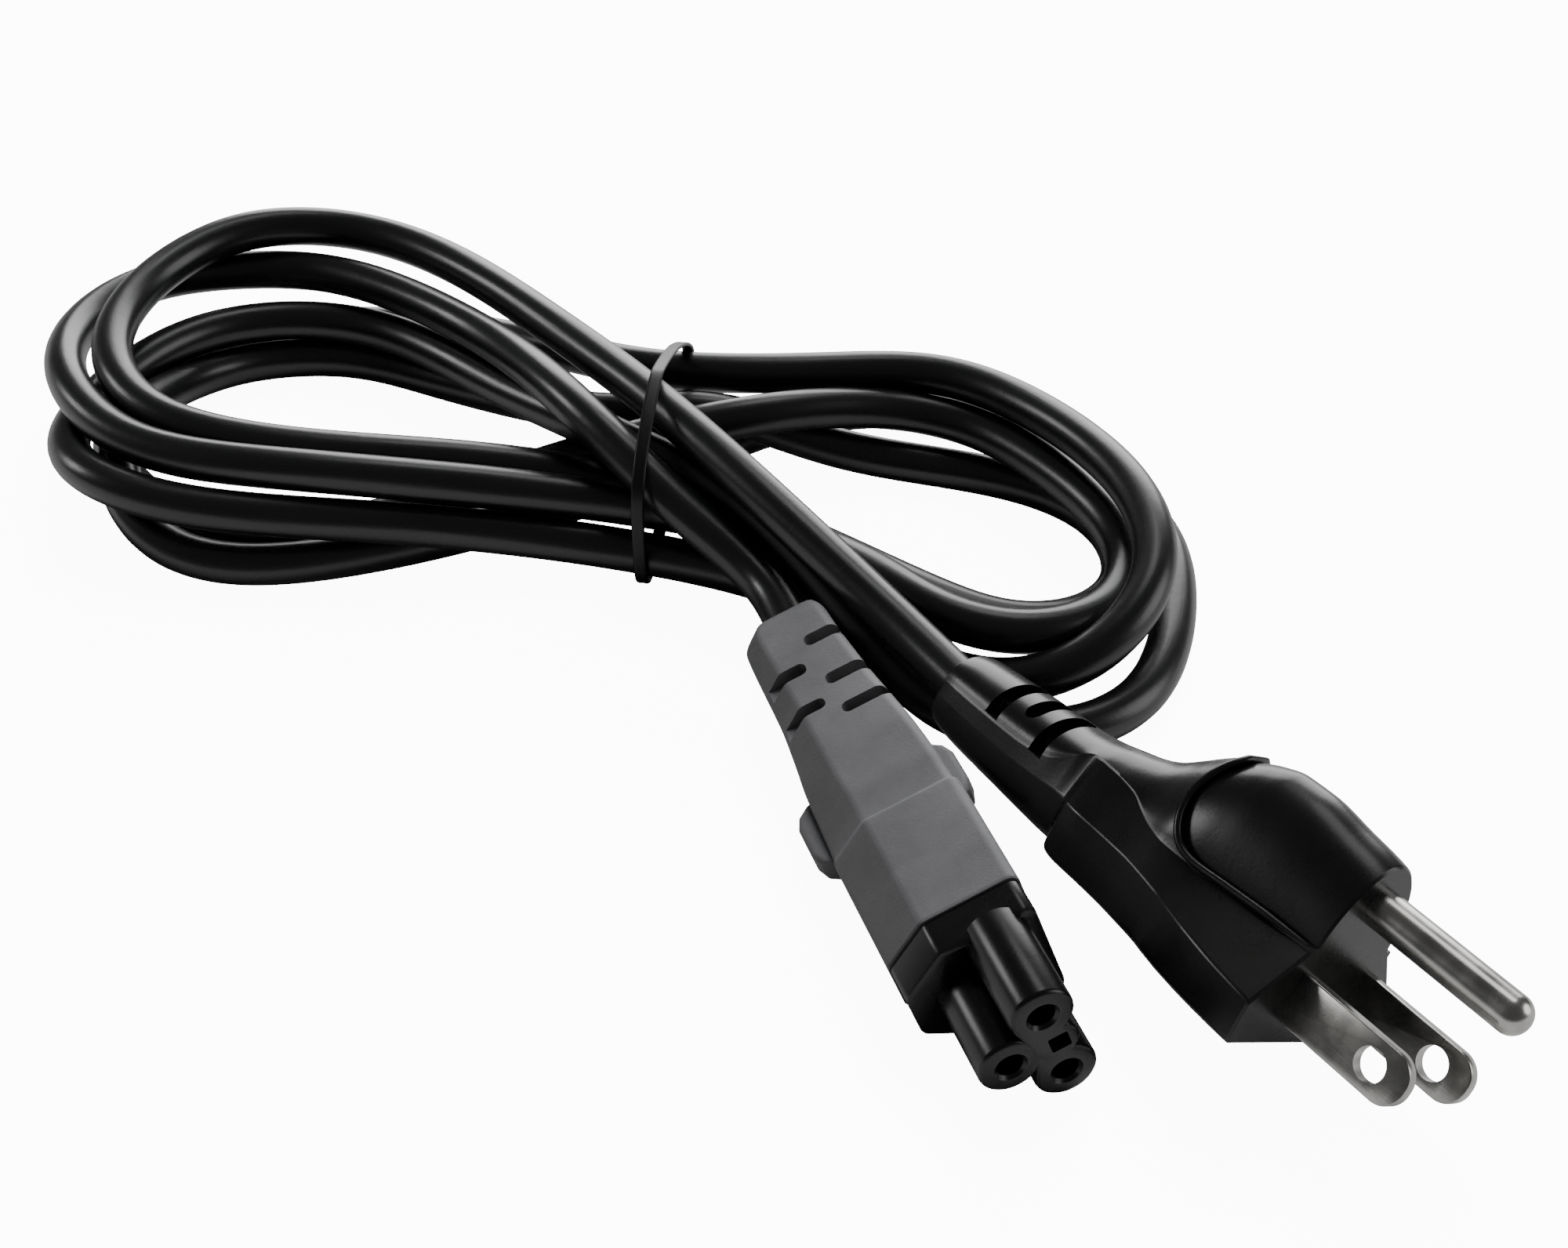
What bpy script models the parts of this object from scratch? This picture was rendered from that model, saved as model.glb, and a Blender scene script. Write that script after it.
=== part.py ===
# Power cord, wound in a hank and tied, with a straight grounded plug on one end
# and a three-hole appliance connector on the other.
# Lengths below are in millimetres and are turned into metres by MM.
# +Z is up and the floor is z = 0. The origin lies on the floor under the middle of the whole object.

import math

import bmesh
import bpy
import numpy as np
from mathutils import Matrix, Vector

MM = 0.001
GAP = 0.3                      # left between neighbouring pieces

# Cord: round three-core mains lead.
CORD_DIAMETER = 6.2
CORD_RADIUS = CORD_DIAMETER / 2

# The plug: its face centre between the blades, its heading along the floor and its roll.
PLUG_FACE = (77.8, -74.3, 12.5)
PLUG_HEADING = -55.9           # degrees from +X, the way the blades point
PLUG_ROLL = 31.4               # degrees that the ground pin leans over to the right
PLUG_LENGTH = 64.7             # from the face back to the end of the strain relief
BLADE_SPACING = 12.7           # between the two blades' middle planes
BLADE_WIDTH = 6.35
BLADE_THICKNESS = 1.52
BLADE_REACH = 16.8             # beyond the face
BLADE_ROOT = 5.0               # held inside the moulding
BLADE_HOLE_DIAMETER = 4.0
BLADE_HOLE_AT = 11.9           # from the face to the hole's centre
PIN_DIAMETER = 4.76
PIN_REACH = 21.0
PIN_ROOT = 6.0
PIN_HEIGHT = 11.9              # from the blades' plane to the pin's axis

# The connector: the middle of its nose face, its heading and its roll.
CONNECTOR_NOSE = (44.9, -80.1, 8.9)
CONNECTOR_HEADING = -71.2
CONNECTOR_ROLL = -20.0
CONNECTOR_LENGTH = 79.5        # from the nose face back to the end of the strain relief
NOSE_LENGTH = 12.0             # the cloverleaf that goes into the appliance
FLANGE_LENGTH = 5.3            # black shoulder between the nose and the grip
CONTACT_SPACING = 10.4         # between the line and neutral contacts
EARTH_OFFSET = 5.4             # from their middle to the earth contact
CONTACT_HOLE_DIAMETER = 3.2
CONTACT_DEPTH = 9.0
LOBE_RADIUS = 3.8
CONTACT_LINE_OFFSET = 3.2      # from the grip's middle to the line and neutral contacts
KEYWAY_WIDTH = 2.4
KEYWAY_DEPTH = 3.0
GRIP_LEFT = -9.3               # the grip's narrow side, next to the earth contact
GRIP_RIGHT = 8.6               # its wide side, next to the line and neutral contacts
GRIP_HALF_HEIGHT = 8.1
GRIP_CHAMFER = (5.6, 4.3)      # its two cut corners: how far in, and how far down

# The tie: a thin flat band round the waist of the hank.
TIE_CENTRE = (0.8, 39.5)
TIE_HEADING = -7.4
TIE_WIDTH = 2.2
TIE_THICKNESS = 0.8

# The cord's route, from the plug to the connector: x, y and the height of its middle line.
ROUTE = (
    # out of the plug and over the hank to the first left turn
    (41.4, -20.5, 12.5), (33.6, -8.9, 13.5), (3.5, 28, 22), (-15.5, 55, 20.5), (-35.5, 79.5, 19.5),
    (-53, 90, 19.5), (-70.5, 87.5, 20.5), (-83, 73.5, 18.5), (-84.5, 53.5, 18), (-74.5, 37.5, 16.5),
    (-54.5, 31.5, 15), (-22.5, 30.5, 13),
    # down through the tie to the lowest right turn
    (10, 31, 5), (35, 11, 5.5), (48.5, 3.5, 4.5), (60, 6, 3.6), (67, 16, 3.1), (65, 30.5, 3.1),
    (53, 41, 3.1), (27, 47, 4), (8, 48.5, 11), (-9, 51, 8),
    # second left turn, on the floor
    (-34.5, 67.5, 3.5), (-52, 76.5, 3.1), (-68.5, 73.5, 4), (-77.5, 64, 5.5), (-81, 47, 10),
    (-80, 32.5, 8), (-72, 22.5, 4), (-58, 18.5, 3.1), (-34.5, 24.5, 3.1), (-4, 38.5, 4.5),
    # widest right turn, on the floor
    (20, 57.5, 4), (42, 60, 3.5), (60.5, 48.5, 3.5), (73, 27, 4), (73, 7.5, 4), (66.5, -11.5, 3.5),
    (54.5, -18.5, 3.1), (40.5, -15.5, 3.1), (29, -3, 7.5), (14.5, 17, 13.5), (-4, 31.5, 15.5),
    # third left turn
    (-25, 53.5, 11.5), (-44, 73.5, 9.5), (-61.5, 78, 9.5), (-77.5, 70.5, 10.5), (-88, 52, 10),
    (-88, 36.5, 11.5), (-79.5, 26, 12.5), (-65, 21.5, 11), (-35.5, 21, 9), (-7.5, 21, 5),
    # third right turn, climbing over the one below
    (20.5, 12, 4), (36, -3, 3.1), (48.5, -11, 5.5), (60, -10, 10), (68.5, 0.5, 15), (67.5, 18, 17),
    (56.5, 40, 15.5), (41.5, 53.5, 14.5), (20, 54.5, 13.5), (-2.5, 57, 12.5),
    # fourth left turn, back down to the floor
    (-24, 73.5, 8), (-49, 86.5, 3.5), (-70.5, 83.5, 3.1), (-84, 68, 3.1), (-86, 49.5, 3.1),
    (-76.5, 35, 3.1), (-62.5, 26, 3.1), (-43, 28.5, 3.5), (-14.5, 40, 7.5),
    # fourth right turn
    (13.5, 43, 13.5), (33, 49.5, 10.5), (45, 47, 9.5), (54.5, 37.5, 10), (66.5, 17, 9.5),
    (63.5, 1, 9.5), (52.5, -6, 10), (40.5, -3.5, 10.5), (29, 9.5, 10), (12, 22.5, 8),
    # last left turn, over the others, and down to the connector
    (-16.5, 24.5, 12), (-48.5, 24, 16), (-75.5, 30.5, 15.5), (-89.5, 46.5, 17), (-92.5, 66.5, 15),
    (-85, 81, 14.5), (-70, 87, 13.5), (-52, 81.5, 15.5), (-28.5, 61.5, 16.5), (-12, 33, 21.5),
    (3, 17, 15), (15.3, 6.9, 9.5), (19.2, -4.5, 8.9),
)


def clear_scene():
    """Removes every object of the startup scene."""
    for thing in list(bpy.data.objects):
        bpy.data.objects.remove(thing)


def material(name, colour, roughness, metallic=0.0):
    """A plain Principled material."""
    made = bpy.data.materials.new(name)
    made.use_nodes = True
    shader = made.node_tree.nodes["Principled BSDF"]
    shader.inputs["Base Color"].default_value = (*colour, 1.0)
    shader.inputs["Roughness"].default_value = roughness
    shader.inputs["Metallic"].default_value = metallic
    return made


def add_object(name, data, collection, look=None):
    """An object of this data in the collection, with one material."""
    made = bpy.data.objects.new(name, data)
    collection.objects.link(made)
    if look:
        data.materials.append(look)
    return made


def loft(name, rings):
    """A closed solid skinned over rings of points, each ring with the same number of points."""
    shape = bmesh.new()
    rows = [[shape.verts.new(Vector(point) * MM) for point in ring] for ring in rings]
    for lower, upper in zip(rows, rows[1:]):
        for side in range(len(lower)):
            after = (side + 1) % len(lower)
            shape.faces.new((lower[side], lower[after], upper[after], upper[side]))
    shape.faces.new(rows[0][::-1])
    shape.faces.new(rows[-1])
    bmesh.ops.recalc_face_normals(shape, faces=shape.faces)
    mesh = bpy.data.meshes.new(name)
    shape.to_mesh(mesh)
    shape.free()
    return mesh


def rounded(corners, steps=4):
    """An outline through rounded corners: each corner is (y, z, radius), listed anticlockwise."""
    outline = []
    count = len(corners)
    for index in range(count):
        here = np.array(corners[index][:2], float)
        before = np.array(corners[index - 1][:2], float)
        after = np.array(corners[(index + 1) % count][:2], float)
        radius = corners[index][2]
        back = (before - here) / np.linalg.norm(before - here)
        ahead = (after - here) / np.linalg.norm(after - here)
        half = 0.5 * math.acos(max(-1.0, min(1.0, float(back @ ahead))))
        middle = (back + ahead) / np.linalg.norm(back + ahead)
        centre = here + middle * radius / math.sin(half)
        start = here + back * radius / math.tan(half) - centre
        end = here + ahead * radius / math.tan(half) - centre
        sweep = math.atan2(start[0] * end[1] - start[1] * end[0], float(start @ end))
        for step in range(steps + 1):
            angle = sweep * step / steps
            turned = (
                start[0] * math.cos(angle) - start[1] * math.sin(angle),
                start[0] * math.sin(angle) + start[1] * math.cos(angle),
            )
            outline.append((centre[0] + turned[0], centre[1] + turned[1]))
    return outline


def section(x, corners, steps=4):
    """The rounded outline as a ring of points at this distance along the piece."""
    return [(x, y, z) for y, z in rounded(corners, steps)]


def circle(x, y, z, radius, count):
    """A ring of points round the long axis."""
    return [
        (
            x,
            y + radius * math.cos(2 * math.pi * step / count),
            z + radius * math.sin(2 * math.pi * step / count),
        )
        for step in range(count)
    ]


def box(x, y, z):
    """Rings of a plain box between the given limits."""
    return [
        [(level, y[0], z[0]), (level, y[1], z[0]), (level, y[1], z[1]), (level, y[0], z[1])]
        for level in x
    ]


def cutter(name, rings, helpers):
    """A hidden solid for a Boolean."""
    made = add_object(name, loft(name, rings), helpers)
    made.hide_render = True
    made.display_type = "WIRE"
    return made


def combine(target, other, operation):
    """An exact Boolean of the target with a hidden solid."""
    change = target.modifiers.new(operation.title() + " " + other.name, "BOOLEAN")
    change.operation = operation
    change.solver = "EXACT"
    change.object = other


def place(thing, position, heading, roll):
    """Puts a piece modelled along +X into its place: rolled about its own axis, then turned."""
    turn = Matrix.Rotation(math.radians(heading), 4, "Z")
    lean = Matrix.Rotation(-math.radians(roll), 4, "X")
    thing.matrix_world = Matrix.Translation(Vector(position) * MM) @ turn @ lean


def smooth_shading(thing, angle=35.0):
    """Round sides shade smooth and real edges stay sharp."""
    for face in thing.data.polygons:
        face.use_smooth = True
    thing.data.set_sharp_from_angle(angle=math.radians(angle))


def smooth_line(points, per_step):
    """Points on a smooth curve through the route's own points, evenly many in each step."""
    points = [np.array(point, float) for point in points]
    points = [2 * points[0] - points[1]] + points + [2 * points[-1] - points[-2]]
    line = []
    for index in range(1, len(points) - 2):
        a, b, c, d = points[index - 1 : index + 3]
        first = np.linalg.norm(b - a) ** 0.5
        second = first + np.linalg.norm(c - b) ** 0.5
        third = second + np.linalg.norm(d - c) ** 0.5
        for step in range(per_step):
            t = first + (second - first) * step / per_step
            ab = (first - t) / first * a + t / first * b
            bc = ((second - t) * b + (t - first) * c) / (second - first)
            cd = ((third - t) * c + (t - second) * d) / (third - second)
            abc = (second - t) / second * ab + t / second * bc
            bcd = ((third - t) * bc + (t - first) * cd) / (third - first)
            line.append(((second - t) * abc + (t - first) * bcd) / (second - first))
    line.append(points[-2])
    return [(x, y, max(z, CORD_RADIUS)) for x, y, z in line]


def make_cord(collection, look):
    """The whole cord: one round tube along the smoothed route."""
    curve = bpy.data.curves.new("cord", "CURVE")
    curve.dimensions = "3D"
    curve.bevel_depth = CORD_RADIUS * MM
    curve.bevel_resolution = 2
    curve.use_fill_caps = True
    curve.twist_mode = "MINIMUM"
    line = smooth_line(ROUTE, 2)
    spline = curve.splines.new("POLY")
    spline.points.add(len(line) - 1)
    for point, (x, y, z) in zip(spline.points, line):
        point.co = (x * MM, y * MM, z * MM, 1.0)
    spline.use_smooth = True
    return add_object("cord", curve, collection, look)


def make_plug_body(collection, helpers, look):
    """The plug's moulding: low wings beside the blades, a tall housing round the pin, slotted relief."""
    wings = []
    for x, half, top in (
        (-38.0, 8.4, -0.4),
        (-29.0, 8.9, -0.6),
        (-20.0, 10.2, -0.8),
        (-14.5, 11.9, -0.8),
        (-8.0, 13.3, -0.8),
        (0.0, 14.0, -0.8),
    ):
        wings.append(
            section(x, ((-half, -6.6, 1.6), (half, -6.6, 1.6), (half, top, 1.2), (-half, top, 1.2)))
        )
    body = add_object("plug_body", loft("plug_body", wings), collection, look)
    housing = []
    for x, half, shoulder, crown, top in (
        (-46.0, 5.6, 2.5, 3.4, 6.9),
        (-40.0, 6.0, 3.6, 3.8, 7.9),
        (-34.0, 6.6, 4.4, 4.2, 9.2),
        (-29.5, 7.2, 5.0, 4.6, 11.6),
        (-25.0, 7.8, 5.6, 5.0, 14.6),
        (-20.5, 8.2, 6.0, 5.4, 17.2),
        (-15.0, 8.3, 6.0, 5.4, 18.7),
        (-6.0, 8.3, 6.0, 5.1, 18.1),
        (0.0, 8.1, 6.0, 4.9, 17.1),
    ):
        housing.append(
            section(
                x,
                (
                    (-half, -5.0, 1.5),
                    (half, -5.0, 1.5),
                    (half, shoulder, 2.0),
                    (crown, top, 3.2),
                    (-crown, top, 3.2),
                    (-half, shoulder, 2.0),
                ),
            )
        )
    combine(body, cutter("pin_housing", housing, helpers), "UNION")
    relief = []
    for x, half, low, high in (
        (-PLUG_LENGTH, 5.2, -5.2, 5.2),
        (-60.0, 5.6, -5.6, 5.8),
        (-50.0, 6.0, -5.9, 6.5),
        (-40.0, 6.5, -6.1, 7.2),
        (-32.0, 6.5, -6.1, 7.2),
    ):
        relief.append(
            section(x, ((-half, low, 3.6), (half, low, 3.6), (half, high, 3.6), (-half, high, 3.6)))
        )
    combine(body, cutter("plug_relief", relief, helpers), "UNION")
    for index, (x, across) in enumerate(
        ((-54.6, (-8.0, 3.6)), (-50.2, (-3.4, 3.4)), (-45.8, (-8.0, 3.6)))
    ):
        along = (x - 1.0, x + 1.0)
        upper = cutter(f"upper_slot_{index + 1}", box(along, across, (3.4, 12.0)), helpers)
        combine(body, upper, "DIFFERENCE")
        lower = cutter(f"lower_slot_{index + 1}", box(along, across, (-12.0, -3.4)), helpers)
        combine(body, lower, "DIFFERENCE")
    for name, side in (("line_pocket", -1), ("neutral_pocket", 1)):
        middle = side * BLADE_SPACING / 2
        half = BLADE_THICKNESS / 2 + GAP
        tall = BLADE_WIDTH / 2 + GAP
        pocket = box((-BLADE_ROOT - GAP, 3), (middle - half, middle + half), (-tall, tall))
        combine(body, cutter(name, pocket, helpers), "DIFFERENCE")
    bore = [circle(x, 0, PIN_HEIGHT, PIN_DIAMETER / 2 + GAP, 24) for x in (-PIN_ROOT - GAP, 3)]
    combine(body, cutter("pin_pocket", bore, helpers), "DIFFERENCE")
    return body


def make_blade(name, side, collection, helpers, look):
    """A flat blade with a rounded tip and a round hole."""
    half = BLADE_WIDTH / 2
    corner = 2.3
    outline = [(-BLADE_ROOT, -half), (BLADE_REACH - corner, -half)]
    for step in range(1, 9):
        angle = -90 + 90 * step / 8
        outline.append(
            (
                BLADE_REACH - corner + corner * math.cos(math.radians(angle)),
                -half + corner + corner * math.sin(math.radians(angle)),
            )
        )
    outline += [(x, -z) for x, z in outline[::-1]]
    middle = side * BLADE_SPACING / 2
    sides = (middle - BLADE_THICKNESS / 2, middle + BLADE_THICKNESS / 2)
    blade = add_object(name, loft(name, [[(x, y, z) for x, z in outline] for y in sides]), collection, look)
    bevel = blade.modifiers.new("Rounded edges", "BEVEL")
    bevel.width = 0.2 * MM
    bevel.segments = 2
    bevel.limit_method = "ANGLE"
    bevel.angle_limit = math.radians(60)
    radius = BLADE_HOLE_DIAMETER / 2
    hole = [
        [
            (
                BLADE_HOLE_AT + radius * math.cos(2 * math.pi * step / 24),
                y,
                radius * math.sin(2 * math.pi * step / 24),
            )
            for step in range(24)
        ]
        for y in (middle - 3, middle + 3)
    ]
    combine(blade, cutter(name + "_hole", hole, helpers), "DIFFERENCE")
    return blade


def make_pin(collection, look):
    """The round ground pin with a domed end."""
    radius = PIN_DIAMETER / 2
    rings = [circle(-PIN_ROOT, 0, PIN_HEIGHT, radius, 24)]
    rings.append(circle(PIN_REACH - radius, 0, PIN_HEIGHT, radius, 24))
    for step in range(1, 6):
        angle = math.radians(90 * step / 6)
        rings.append(
            circle(PIN_REACH - radius + radius * math.sin(angle), 0, PIN_HEIGHT, radius * math.cos(angle), 24)
        )
    return add_object("ground_pin", loft("ground_pin", rings), collection, look)


def grip_corners(left, right, high, chamfer, grow=0.0):
    """The grip's outline: square beside the line and neutral contacts, with two cut corners beside the earth."""
    into, down = chamfer
    left -= grow
    right += grow
    high += grow
    return (
        (left, high - down, 1.4),
        (left, -high + down, 1.4),
        (left + into, -high, 1.6),
        (right, -high, 1.5),
        (right, high, 1.5),
        (left + into, high, 1.6),
    )


def make_connector_body(collection, helpers, look):
    """The connector's grip: a chamfered front, a waisted rear and a slotted relief."""
    front = -NOSE_LENGTH - FLANGE_LENGTH
    rings = []
    for x, left, right, high, chamfer in (
        (-CONNECTOR_LENGTH, -5.6, 4.8, 4.8, (2.2, 2.2)),
        (-76.5, -6.9, 5.3, 5.4, (2.6, 2.4)),
        (-72.0, -7.1, 5.5, 5.6, (2.8, 2.6)),
        (-62.0, -7.3, 6.3, 5.9, (3.2, 2.9)),
        (-54.0, -7.9, 7.1, 6.4, (3.8, 3.3)),
        (-46.0, -8.7, 7.9, 7.0, (4.6, 3.8)),
        (-38.0, -9.1, 8.3, 7.5, (5.2, 4.1)),
        (-35.8, GRIP_LEFT, GRIP_RIGHT, GRIP_HALF_HEIGHT, GRIP_CHAMFER),
        (front, GRIP_LEFT, GRIP_RIGHT, GRIP_HALF_HEIGHT, GRIP_CHAMFER),
    ):
        rings.append(section(x, grip_corners(left, right, high, chamfer)))
    body = add_object("connector_body", loft("connector_body", rings), collection, look)
    for name, y in (("left_lug", (-11.6, -4.4)), ("right_lug", (4.0, 11.2))):
        lug = []
        for x, out in ((-48.0, 0.0), (-46.0, 1.0), (-39.5, 1.0), (-37.0, 0.2)):
            inner, outer = (y[1], y[0]) if name == "left_lug" else (y[0], y[1])
            reach = inner + (outer - inner) * (0.55 + 0.45 * out)
            low, high = min(inner, reach), max(inner, reach)
            corners = ((low, -1.6, 0.9), (high, -1.6, 0.9), (high, 2.2, 0.9), (low, 2.2, 0.9))
            lug.append(section(x, corners, 2))
        combine(body, cutter(name, lug, helpers), "UNION")
    slots = (
        ("far_slot_1", -70.8, (0.6, 9.0)),
        ("near_slot_1", -66.4, (-10.0, -0.8)),
        ("far_slot_2", -62.2, (0.6, 9.0)),
        ("near_slot_2", -58.6, (-10.0, -0.8)),
        ("far_slot_3", -55.4, (0.6, 9.0)),
    )
    for name, x, y in slots:
        along = (x - 0.9, x + 0.9)
        combine(body, cutter("upper_" + name, box(along, y, (3.7, 12.0)), helpers), "DIFFERENCE")
        combine(body, cutter("lower_" + name, box(along, y, (-12.0, -3.7)), helpers), "DIFFERENCE")
    return body


def make_socket_insert(collection, helpers, look):
    """The black front: a shoulder the shape of the grip and a cloverleaf nose with three holes."""
    back = -NOSE_LENGTH - FLANGE_LENGTH + GAP
    outline = (GRIP_LEFT, GRIP_RIGHT, GRIP_HALF_HEIGHT, GRIP_CHAMFER)
    shoulder = [
        section(back, grip_corners(*outline, grow=-0.15)),
        section(-NOSE_LENGTH - 0.6, grip_corners(*outline, grow=-0.15)),
        section(-NOSE_LENGTH, grip_corners(*outline, grow=-0.6)),
    ]
    insert = add_object("socket_insert", loft("socket_insert", shoulder), collection, look)
    line = CONTACT_LINE_OFFSET
    contacts = {
        "line": (line, CONTACT_SPACING / 2),
        "neutral": (line, -CONTACT_SPACING / 2),
        "earth": (line - EARTH_OFFSET, 0.0),
    }
    for name, (y, z) in contacts.items():
        lobe = [
            circle(-NOSE_LENGTH - 1.5, y, z, LOBE_RADIUS, 24),
            circle(-0.5, y, z, LOBE_RADIUS, 24),
            circle(0, y, z, LOBE_RADIUS - 0.5, 24),
        ]
        combine(insert, cutter(name + "_lobe", lobe, helpers), "UNION")
    web = box((-NOSE_LENGTH - 1.5, 0), (line - 3.0, line + 2.9), (-3.6, 3.6))
    combine(insert, cutter("web", web, helpers), "UNION")
    for name, (y, z) in contacts.items():
        hole = [circle(x, y, z, CONTACT_HOLE_DIAMETER / 2, 16) for x in (-CONTACT_DEPTH, 2)]
        combine(insert, cutter(name + "_hole", hole, helpers), "DIFFERENCE")
    half = KEYWAY_WIDTH / 2
    keyway = box((-KEYWAY_DEPTH, 2), (line - half + 0.6, line + half + 0.6), (-half, half))
    combine(insert, cutter("keyway", keyway, helpers), "DIFFERENCE")
    return insert


def make_tie(collection, look):
    """The tie: a flat band that follows the outside of the bundle, closed on itself."""
    # across the hank and up, seen along it, anticlockwise round the bundle
    path = (
        (20.4, 13.3), (19.2, 15.8), (8.8, 22.0), (-4.0, 26.1), (-6.6, 26.4), (-14.5, 24.2), (-21.5, 20.2),
        (-24.0, 16.5), (-24.0, 4.6), (-23.4, 2.4), (-21.4, 0.6), (-8.0, 0.5), (5.9, 0.5), (12.9, 4.3),
        (19.2, 10.0), (20.4, 12.2),
    )
    half = TIE_WIDTH / 2
    rings = []
    count = len(path)
    points = [np.array(point, float) for point in path]
    shape = bmesh.new()
    for index in range(count):
        ahead = points[(index + 1) % count] - points[index - 1]
        out = np.array((ahead[1], -ahead[0])) / np.linalg.norm(ahead)
        here = points[index]
        inner = here - out * TIE_THICKNESS / 2
        outer = here + out * TIE_THICKNESS / 2
        rings.append(
            [
                shape.verts.new(Vector(corner) * MM)
                for corner in (
                    (-half, inner[0], inner[1]),
                    (half, inner[0], inner[1]),
                    (half, outer[0], outer[1]),
                    (-half, outer[0], outer[1]),
                )
            ]
        )
    for index in range(count):
        lower, upper = rings[index], rings[(index + 1) % count]
        for side in range(4):
            after = (side + 1) % 4
            shape.faces.new((lower[side], lower[after], upper[after], upper[side]))
    bmesh.ops.recalc_face_normals(shape, faces=shape.faces)
    mesh = bpy.data.meshes.new("twist_tie")
    shape.to_mesh(mesh)
    shape.free()
    tie = add_object("twist_tie", mesh, collection, look)
    tie.matrix_world = Matrix.Translation((TIE_CENTRE[0] * MM, TIE_CENTRE[1] * MM, 0)) @ Matrix.Rotation(
        math.radians(TIE_HEADING), 4, "Z"
    )
    return tie


def main():
    clear_scene()
    parts = bpy.data.collections.new("power_cord")
    helpers = bpy.data.collections.new("helpers")
    bpy.context.scene.collection.children.link(parts)
    bpy.context.scene.collection.children.link(helpers)
    helpers.hide_render = True

    sheath = material("black PVC sheath", (0.012, 0.012, 0.013), 0.25)
    moulding = material("black PVC moulding", (0.02, 0.02, 0.022), 0.4)
    hard = material("hard black insert", (0.012, 0.012, 0.012), 0.3)
    metal = material("nickel-plated brass", (0.62, 0.60, 0.56), 0.25, 1.0)
    band = material("black tie coating", (0.015, 0.015, 0.015), 0.45)

    make_cord(parts, sheath)
    plug = make_plug_body(parts, helpers, moulding)
    line_blade = make_blade("line_blade", -1, parts, helpers, metal)
    neutral_blade = make_blade("neutral_blade", 1, parts, helpers, metal)
    pin = make_pin(parts, metal)
    body = make_connector_body(parts, helpers, moulding)
    insert = make_socket_insert(parts, helpers, hard)
    make_tie(parts, band)

    plug_pieces = [plug, line_blade, neutral_blade, pin]
    connector_pieces = [body, insert]
    for thing in plug_pieces + connector_pieces:
        smooth_shading(thing)
    for thing in plug_pieces:
        for change in thing.modifiers:
            if change.type == "BOOLEAN":
                place(change.object, PLUG_FACE, PLUG_HEADING, PLUG_ROLL)
        place(thing, PLUG_FACE, PLUG_HEADING, PLUG_ROLL)
    for thing in connector_pieces:
        for change in thing.modifiers:
            if change.type == "BOOLEAN":
                place(change.object, CONNECTOR_NOSE, CONNECTOR_HEADING, CONNECTOR_ROLL)
        place(thing, CONNECTOR_NOSE, CONNECTOR_HEADING, CONNECTOR_ROLL)


main()
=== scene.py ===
import math

import bmesh
import bpy
import numpy as np
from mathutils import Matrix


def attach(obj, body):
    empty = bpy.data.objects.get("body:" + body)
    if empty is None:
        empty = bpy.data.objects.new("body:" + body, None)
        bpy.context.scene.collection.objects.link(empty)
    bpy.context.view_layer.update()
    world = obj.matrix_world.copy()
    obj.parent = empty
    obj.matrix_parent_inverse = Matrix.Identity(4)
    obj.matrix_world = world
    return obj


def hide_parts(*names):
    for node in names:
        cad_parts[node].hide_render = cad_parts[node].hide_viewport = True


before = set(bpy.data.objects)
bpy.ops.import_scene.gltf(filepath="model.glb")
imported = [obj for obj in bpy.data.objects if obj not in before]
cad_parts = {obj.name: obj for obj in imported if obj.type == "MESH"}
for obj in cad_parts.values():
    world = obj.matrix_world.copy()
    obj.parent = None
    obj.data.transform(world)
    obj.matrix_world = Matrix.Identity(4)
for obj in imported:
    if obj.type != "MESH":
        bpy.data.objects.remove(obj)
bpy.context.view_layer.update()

# Lengths are in millimetres until a mesh is made, and MM turns them into metres. Angles are in degrees.
MM = 0.001

# The cord.
CORD_RADIUS = 3.1
SAMPLES_PER_STEP = 12          # points of the cord's line between two points of its route
SAMPLES_ROUND = 28             # points round the cord
EVENING_PASSES = 30            # how often the line's bends are evened out
HELD_INSIDE = 3.0              # each end goes this far into its moulding, so that no gap shows at the relief
CORE_LAY = 42.0                # one turn of the three cores under the sheath
CORES = 3

# The plug: its face between the blades, its heading from +X and its roll. A piece on it or on the connector is
# drawn pointing along +X from there, with y across and z up.
PLUG_FACE = (77.8, -74.3, 12.5)
PLUG_HEADING = -55.9
PLUG_ROLL = 31.4
BLADE_SPACING = 12.7
BLADE_WIDTH = 6.35
BLADE_THICKNESS = 1.52
BLADE_REACH = 16.8             # beyond the face
BLADE_ROOT = 5.0               # held inside the moulding
BLADE_TIP_RADIUS = 2.95
BLADE_HOLE_RADIUS = 2.0
BLADE_HOLE_AT = 11.9
BLADE_EDGE = 0.18              # drawn in at both faces
BLADE_EDGE_STEP = 0.05         # the middle row of that rounded edge
PIN_RADIUS = 2.38
PIN_REACH = 21.0
PIN_ROOT = 6.0
PIN_HEIGHT = 11.9              # above the blades' middle
PIN_DOME = 2.2                 # length of its rounded end
PIN_FLAT = 0.06                # radius of the small cap that closes it

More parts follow.
